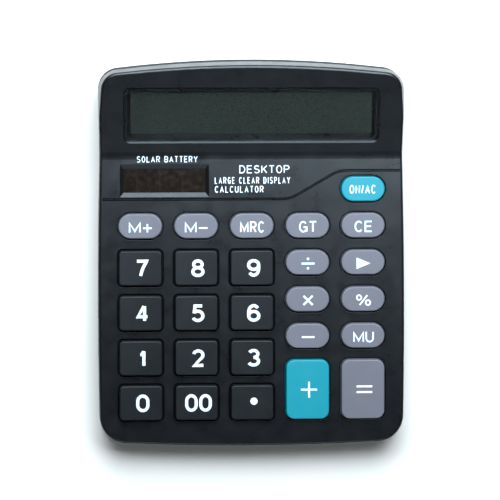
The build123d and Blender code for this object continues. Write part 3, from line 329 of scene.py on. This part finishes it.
ring = [*arc(0.5, 0.62, 0.5, 0.38, 0, 180), *arc(0.5, 0.38, 0.5, 0.38, 180, 360), (1.0, 0.62)]
six = [arc(0.5, 0.3, 0.5, 0.3, 0, 360), [*arc(0.5, 0.55, 0.5, 0.45, 38, 180), (0.0, 0.3)]]
bowl = [(0.0, 0.0), (0.0, 1.0), *arc(0.56, 0.74, 0.44, 0.26, 90, -90), (0.0, 0.48)]
GLYPHS = {
    "0": [ring],
    "1": [[(0.8, 0.0), (0.8, 1.0)], bend((0.0, 0.76), (0.5, 0.76), (0.72, 1.0))],
    "2": [[*arc(0.5, 0.71, 0.46, 0.29, 165, -30), (0.05, 0.0), (1.0, 0.0)]],
    "3": [arc(0.47, 0.76, 0.43, 0.24, 155, -90), arc(0.47, 0.26, 0.5, 0.26, 90, -155)],
    "4": [[(0.72, 0.0), (0.72, 1.0)], [(0.66, 1.0), (0.0, 0.28), (1.0, 0.28)]],
    "5": [[(0.9, 1.0), (0.2, 1.0), (0.1, 0.5)], arc(0.47, 0.32, 0.5, 0.32, 135, -155)],
    "6": six,
    "7": [[(0.0, 1.0), *bend((1.0, 1.0), (0.5, 0.55), (0.36, 0.0))]],
    "8": [arc(0.5, 0.765, 0.42, 0.235, 0, 360), arc(0.5, 0.265, 0.5, 0.265, 0, 360)],
    "9": [[(1 - x, 1 - y) for x, y in path] for path in six],
    "A": [[(0.0, 0.0), (0.5, 1.0), (1.0, 0.0)], [(0.18, 0.33), (0.82, 0.33)]],
    "B": [bowl, [*arc(0.56, 0.25, 0.44, 0.25, 90, -90), (0.0, 0.0)]],
    "C": [arc(0.5, 0.5, 0.5, 0.5, 42, 318)],
    "D": [[(0.0, 0.0), (0.0, 1.0), *arc(0.45, 0.5, 0.55, 0.5, 90, -90), (0.0, 0.0)]],
    "E": [[(1.0, 1.0), (0.0, 1.0), (0.0, 0.0), (1.0, 0.0)], [(0.0, 0.52), (0.9, 0.52)]],
    "G": [arc(0.5, 0.5, 0.5, 0.5, 42, 318), [(1.0, 0.0), (1.0, 0.46), (0.56, 0.46)]],
    "I": [[(0.5, 0.0), (0.5, 1.0)]],
    "K": [[(0.0, 0.0), (0.0, 1.0)], [(1.0, 1.0), (0.0, 0.34)], [(0.34, 0.56), (1.0, 0.0)]],
    "L": [[(0.0, 1.0), (0.0, 0.0), (1.0, 0.0)]],
    "M": [[(0.0, 0.0), (0.0, 1.0), (0.5, 0.12), (1.0, 1.0), (1.0, 0.0)]],
    "N": [[(0.0, 0.0), (0.0, 1.0), (1.0, 0.0), (1.0, 1.0)]],
    "O": [arc(0.5, 0.5, 0.5, 0.5, 0, 360)],
    "P": [bowl],
    "R": [bowl, [(0.5, 0.48), (1.0, 0.0)]],
    "S": [[*arc(0.5, 0.75, 0.46, 0.25, 30, 270), *arc(0.5, 0.25, 0.5, 0.25, 80, -150)]],
    "T": [[(0.0, 1.0), (1.0, 1.0)], [(0.5, 1.0), (0.5, 0.0)]],
    "U": [[(0.0, 1.0), *arc(0.5, 0.35, 0.5, 0.35, 180, 360), (1.0, 1.0)]],
    "Y": [[(0.0, 1.0), (0.5, 0.46), (1.0, 1.0)], [(0.5, 0.46), (0.5, 0.0)]],
    "/": [[(0.0, 0.0), (1.0, 1.0)]],
    "%": [
        [(0.22, 0.0), (0.78, 1.0)],
        arc(0.17, 0.76, 0.17, 0.24, 0, 360),
        arc(0.83, 0.24, 0.17, 0.24, 0, 360),
    ],
    "+": [[(0.0, 0.42), (1.0, 0.42)], [(0.5, 0.0), (0.5, 0.84)]],
    "-": [[(0.0, 0.42), (1.0, 0.42)]],
    " ": [],
}
GLYPH_WIDTHS = {
    "%": 1.3, "M": 1.1, "+": 0.95, "-": 0.95, "A": 0.92, "Y": 0.9, "P": 0.82, "S": 0.82, "T": 0.82,
    "E": 0.78, "L": 0.75, "/": 0.45, " ": 0.45, "I": 0.2,
}
PLAIN_WIDTH = 0.85  # of every other glyph
SMALLEST_AREA = 1e-5  # anything smaller is left out of a letter
SHARPEST_MITRE = 0.35  # keeps the corners of sharp bends from running out


def cover(shape, outlines):
    """Adds flat faces to a mesh that cover everything inside any of these outlines."""
    points, faces = [], []
    for outline in outlines:
        corners = [Vector(point) for point in outline]
        area = sum(a.cross(b) for a, b in zip(corners, corners[1:] + corners[:1])) / 2
        if abs(area) < SMALLEST_AREA:
            continue
        if area < 0:
            corners.reverse()
        faces.append(list(range(len(points), len(points) + len(corners))))
        points += corners
    places, _, pieces, _, _, sources = delaunay_2d_cdt(points, [], faces, 1, 1e-4, True)
    inside = [piece for piece, source in zip(pieces, sources) if source]
    corners = {n: shape.verts.new((*places[n], 0)) for n in sorted({n for piece in inside for n in piece})}
    for piece in inside:
        shape.faces.new([corners[n] for n in piece])


def flat(*signs):
    """One flat mesh of these signs, each a list of outlines that may overlap."""
    shape = bmesh.new()
    for outlines in signs:
        cover(shape, outlines)
    return shape


def square(way):
    """A direction turned a quarter of a turn to the left."""
    return Vector((-way.y, way.x))


def stroke(path, thickness, low, high):
    """Outlines of the parts of one stroke, with mitred corners that stay inside the box from low to high."""
    points = [Vector(point) for point in path]
    closed = (points[0] - points[-1]).length < 1e-4
    if closed:
        points.pop()
    ways = [(end - start).normalized() for start, end in zip(points, points[1:] + points[:1])]
    sides = []
    for n, point in enumerate(points):
        before = ways[n - 1] if closed or n else ways[n]
        after = ways[n] if closed or n < len(points) - 1 else ways[n - 1]
        across = (square(before) + square(after)).normalized()
        reach = thickness / 2 / max(SHARPEST_MITRE, across.dot(square(before)))
        edges = (point + across * reach, point - across * reach)
        sides.append([(min(max(e.x, low.x), high.x), min(max(e.y, low.y), high.y)) for e in edges])
    if closed:
        sides.append(sides[0])
    triangles = []
    for (left, right), (next_left, next_right) in zip(sides, sides[1:]):
        triangles += [[left, next_left, next_right], [left, next_right, right]]
    return triangles


def letters(text, width, height, thickness, gap):
    """Plain upright lettering that fills a box of this width and height, as a flat mesh about its middle."""
    shares = [GLYPH_WIDTHS.get(letter, PLAIN_WIDTH) for letter in text]
    unit = (width - gap * (len(text) - 1)) / sum(shares)
    signs, left = [], -width / 2
    for letter, share in zip(text, shares):
        low = Vector((left, -height / 2))
        high = Vector((left + max(unit * share, thickness), height / 2))
        start = low + Vector((thickness, thickness)) / 2
        room = high - low - Vector((thickness, thickness))
        outlines = []
        for path in GLYPHS[letter]:
            places = [(start.x + x * room.x, start.y + y * room.y) for x, y in path]
            outlines += stroke(places, thickness, low, high)
        if outlines:
            signs.append(outlines)
        left += unit * share + gap
    return flat(*signs)


def bar(width, height, x=0.0, y=0.0):
    """A rectangle about x, y."""
    return [(x + sx * width / 2, y + sy * height / 2) for sx, sy in ((-1, -1), (1, -1), (1, 1), (-1, 1))]


def disc(radius, x=0.0, y=0.0):
    """A round outline about x, y."""
    return arc(x, y, radius, radius, 0, 348)


def turned(outline, degrees):
    """An outline turned about the origin."""
    c, s = math.cos(math.radians(degrees)), math.sin(math.radians(degrees))
    return [(c * x - s * y, s * x + c * y) for x, y in outline]


def print_on(name, shape, node, x, y, body):
    """Lays a flat shape, drawn in mm, on a node's upper surface at x, y as a thin closed layer of ink."""
    surface = BVHTree.FromPolygons(
        [vertex.co for vertex in nodes[node].data.vertices],
        [tuple(face.vertices) for face in nodes[node].data.polygons],
    )
    above = cad_high.z + CLEAR_OF_CASE * MM
    for vertex in shape.verts:
        start = Vector((x + vertex.co.x * MM, y + vertex.co.y * MM, above))
        hit = surface.ray_cast(start, Vector((0, 0, -1)))[0]
        vertex.co = hit + Vector((0, 0, INK_LIFT * MM))
    for face in shape.faces:
        face.normal_update()
        if face.normal.z < 0:
            face.normal_flip()
    grown = bmesh.ops.extrude_face_region(shape, geom=shape.faces[:], use_keep_orig=True)
    for element in grown["geom"]:
        if isinstance(element, bmesh.types.BMVert):
            element.co.z -= INK_THICKNESS * MM
    bmesh.ops.recalc_face_normals(shape, faces=shape.faces)
    mesh = bpy.data.meshes.new(name)
    shape.to_mesh(mesh)
    shape.free()
    mesh.materials.append(ink)
    piece = bpy.data.objects.new(name, mesh)
    bpy.context.scene.collection.objects.link(piece)
    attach(piece, body)
    return piece


def key_top(node):
    """The middle of a key's top face, as seen from above."""
    low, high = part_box(node)
    middle = (low + high) / 2
    return middle.x, middle.y - math.tan(deck_slope) * (high.z - low.z) / 2


# Sizes in mm
DIGIT = {"height": 6.8, "thickness": 1.2, "gap": 0.55}
WORD = {"height": 4.4, "thickness": 0.6, "gap": 0.55}
SMALL_WORD = {"height": 3.4, "thickness": 0.45, "gap": 0.45}
SIGN = 0.75  # thickness of the arithmetic signs
digit_widths = {"1": 2.9, "00": 10.3}
words = {
    "m_plus": ("M+", 9.1), "m_minus": ("M-", 9.0), "mrc": ("MRC", 9.4), "gt": ("GT", 6.9),
    "ce": ("CE", 6.9), "mu": ("MU", 8.0), "percent": ("%", 5.8),
}
legends = {}
for digit in ("0", "00", "1", "2", "3", "4", "5", "6", "7", "8", "9"):
    legends[digit] = letters(digit, digit_widths.get(digit, 5.1), **DIGIT)
for name, (text, width) in words.items():
    legends[name] = letters(text, width, **WORD)
legends["on_ac"] = letters("ON/AC", 10.2, **SMALL_WORD)
legends["point"] = flat([disc(1.4)])
legends["divide"] = flat([bar(5.0, SIGN)], [disc(0.5, 0, 1.8)], [disc(0.5, 0, -1.8)])
legends["minus"] = flat([bar(4.9, SIGN)])
legends["multiply"] = flat([turned(bar(5.0, SIGN), 45), turned(bar(5.0, SIGN), -45)])
legends["plus"] = flat([bar(6.2, SIGN), bar(SIGN, 6.2)])
legends["equals"] = flat([bar(6.1, SIGN, 0, 1.1)], [bar(6.1, SIGN, 0, -1.1)])
legends["delete"] = flat([[(-2.7, 2.2), (-2.7, -2.2), (2.7, 0.0)]])

# How far each legend is printed from the middle of its key
NUMBER_NUDGE = (0.65, -0.1)
FUNCTION_NUDGE = (0.2, -0.5)
TALL_NUDGE = (0.55, -0.1)
nudges = {"on_ac": (-0.1, -0.2), "point": (0.65, 0.4), "plus": TALL_NUDGE, "equals": TALL_NUDGE}
for name, shape in legends.items():
    x, y = key_top(f"key_{name}")
    nudge = nudges.get(name, NUMBER_NUDGE if name.isdigit() else FUNCTION_NUDGE)
    print_on(f"legend_{name}", shape, f"key_{name}", x + nudge[0] * MM, y + nudge[1] * MM, f"key_{name}")

# Each line of print on the case: text, width, height, and its middle from the middle of the solar cell
PANEL_STROKE, PANEL_GAP = 0.125, 0.2  # shares of the height
PANEL_PRINT = {
    "power": ("SOLAR BATTERY", 23.3, 2.4, 1.1, 8.1),
    "title": ("DESKTOP", 19.3, 3.1, 38.4, 4.15),
    "line_1": ("LARGE CLEAR DISPLAY", 29.0, 2.6, 33.8, -0.1),
    "line_2": ("CALCULATOR", 18.7, 2.6, 28.7, -3.5),
}
solar_low, solar_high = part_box("solar_cell")
solar_middle = (solar_low + solar_high) / 2
for name, (text, width, height, right, up) in PANEL_PRINT.items():
    shape = letters(text, width, height, height * PANEL_STROKE, height * PANEL_GAP)
    x, y = solar_middle.x + right * MM, solar_middle.y + up * MM
    print_on(f"panel_print_{name}", shape, "top_case", x, y, "case")

# ---------------------------------------------------------------- floor, lights and camera
FLOOR_SIZE = 3.0
FLOOR_GAP = 0.05 * MM
CAMERA_HEIGHT = 0.95
FRAME_WIDTH = 193.2 * MM  # what the picture spans at the height of the keys
FRAME_LEVEL = 15 * MM
CAMERA_X = -38 * MM
AIM = Vector((-0.45 * MM, 1.40 * MM, FRAME_LEVEL))
CAMERA_ROLL = math.radians(-0.3)
SENSOR = 36.0

floor_mesh = bpy.data.meshes.new("floor")
floor_shape = flat([bar(FLOOR_SIZE, FLOOR_SIZE)])
floor_shape.to_mesh(floor_mesh)
floor = bpy.data.objects.new("floor", floor_mesh)
bpy.context.scene.collection.objects.link(floor)
paper = Material("floor_paper")
paper.colour(paper.blend(paper.noise(0.3), (0.97, 0.86, 0.76), (0.99, 0.88, 0.78)))
paper.roughness(paper.spread(paper.noise(0.1), 0.8, 0.9))
floor_mesh.materials.append(paper.made)
floor.location.z = cad_low.z - FLOOR_GAP


def soft_light(name, place, target, size, power, colour):
    """A rectangular soft light at place, facing target, that the camera doesn't see."""
    data = bpy.data.lights.new(name, "AREA")
    data.shape = "RECTANGLE"
    data.size, data.size_y = size
    data.energy = power
    data.color = colour
    light = bpy.data.objects.new(name, data)
    light.location = place
    light.rotation_euler = (Vector(target) - Vector(place)).to_track_quat("-Z", "Y").to_euler()
    light.visible_camera = False
    bpy.context.scene.collection.objects.link(light)
    return light


COOL = (0.70, 0.86, 1.0)
overhead = soft_light("overhead", (0.02, 0.26, 0.45), (0.02, 0.26, 0.0), (0.5, 0.4), 7.2, COOL)
overhead.rotation_euler.z = math.radians(-15)
soft_light("back_strip", (0.0, 0.80, 0.70), (0.0, 0.0, 0.02), (0.9, 0.12), 3.8, COOL)
soft_light("front_fill", (0.0, -1.1, 0.9), (0.0, 0.0, 0.0), (0.8, 0.4), 2.6, COOL)

world = bpy.data.worlds.new("studio")
world.use_nodes = True
background = world.node_tree.nodes["Background"]
background.inputs["Color"].default_value = (0.9, 0.95, 1.0, 1)
background.inputs["Strength"].default_value = 0.06
bpy.context.scene.world = world

camera_data = bpy.data.cameras.new("camera")
camera_data.sensor_width = SENSOR
camera_data.lens = SENSOR * (CAMERA_HEIGHT - FRAME_LEVEL) / FRAME_WIDTH
camera = bpy.data.objects.new("camera", camera_data)
camera.location = (CAMERA_X, AIM.y, CAMERA_HEIGHT)
camera.rotation_euler = (0, math.atan2(CAMERA_X - AIM.x, CAMERA_HEIGHT - AIM.z), CAMERA_ROLL)
bpy.context.scene.collection.objects.link(camera)
bpy.context.scene.camera = camera
bpy.context.scene.view_settings.view_transform = "Standard"
bpy.context.scene.view_settings.look = "None"
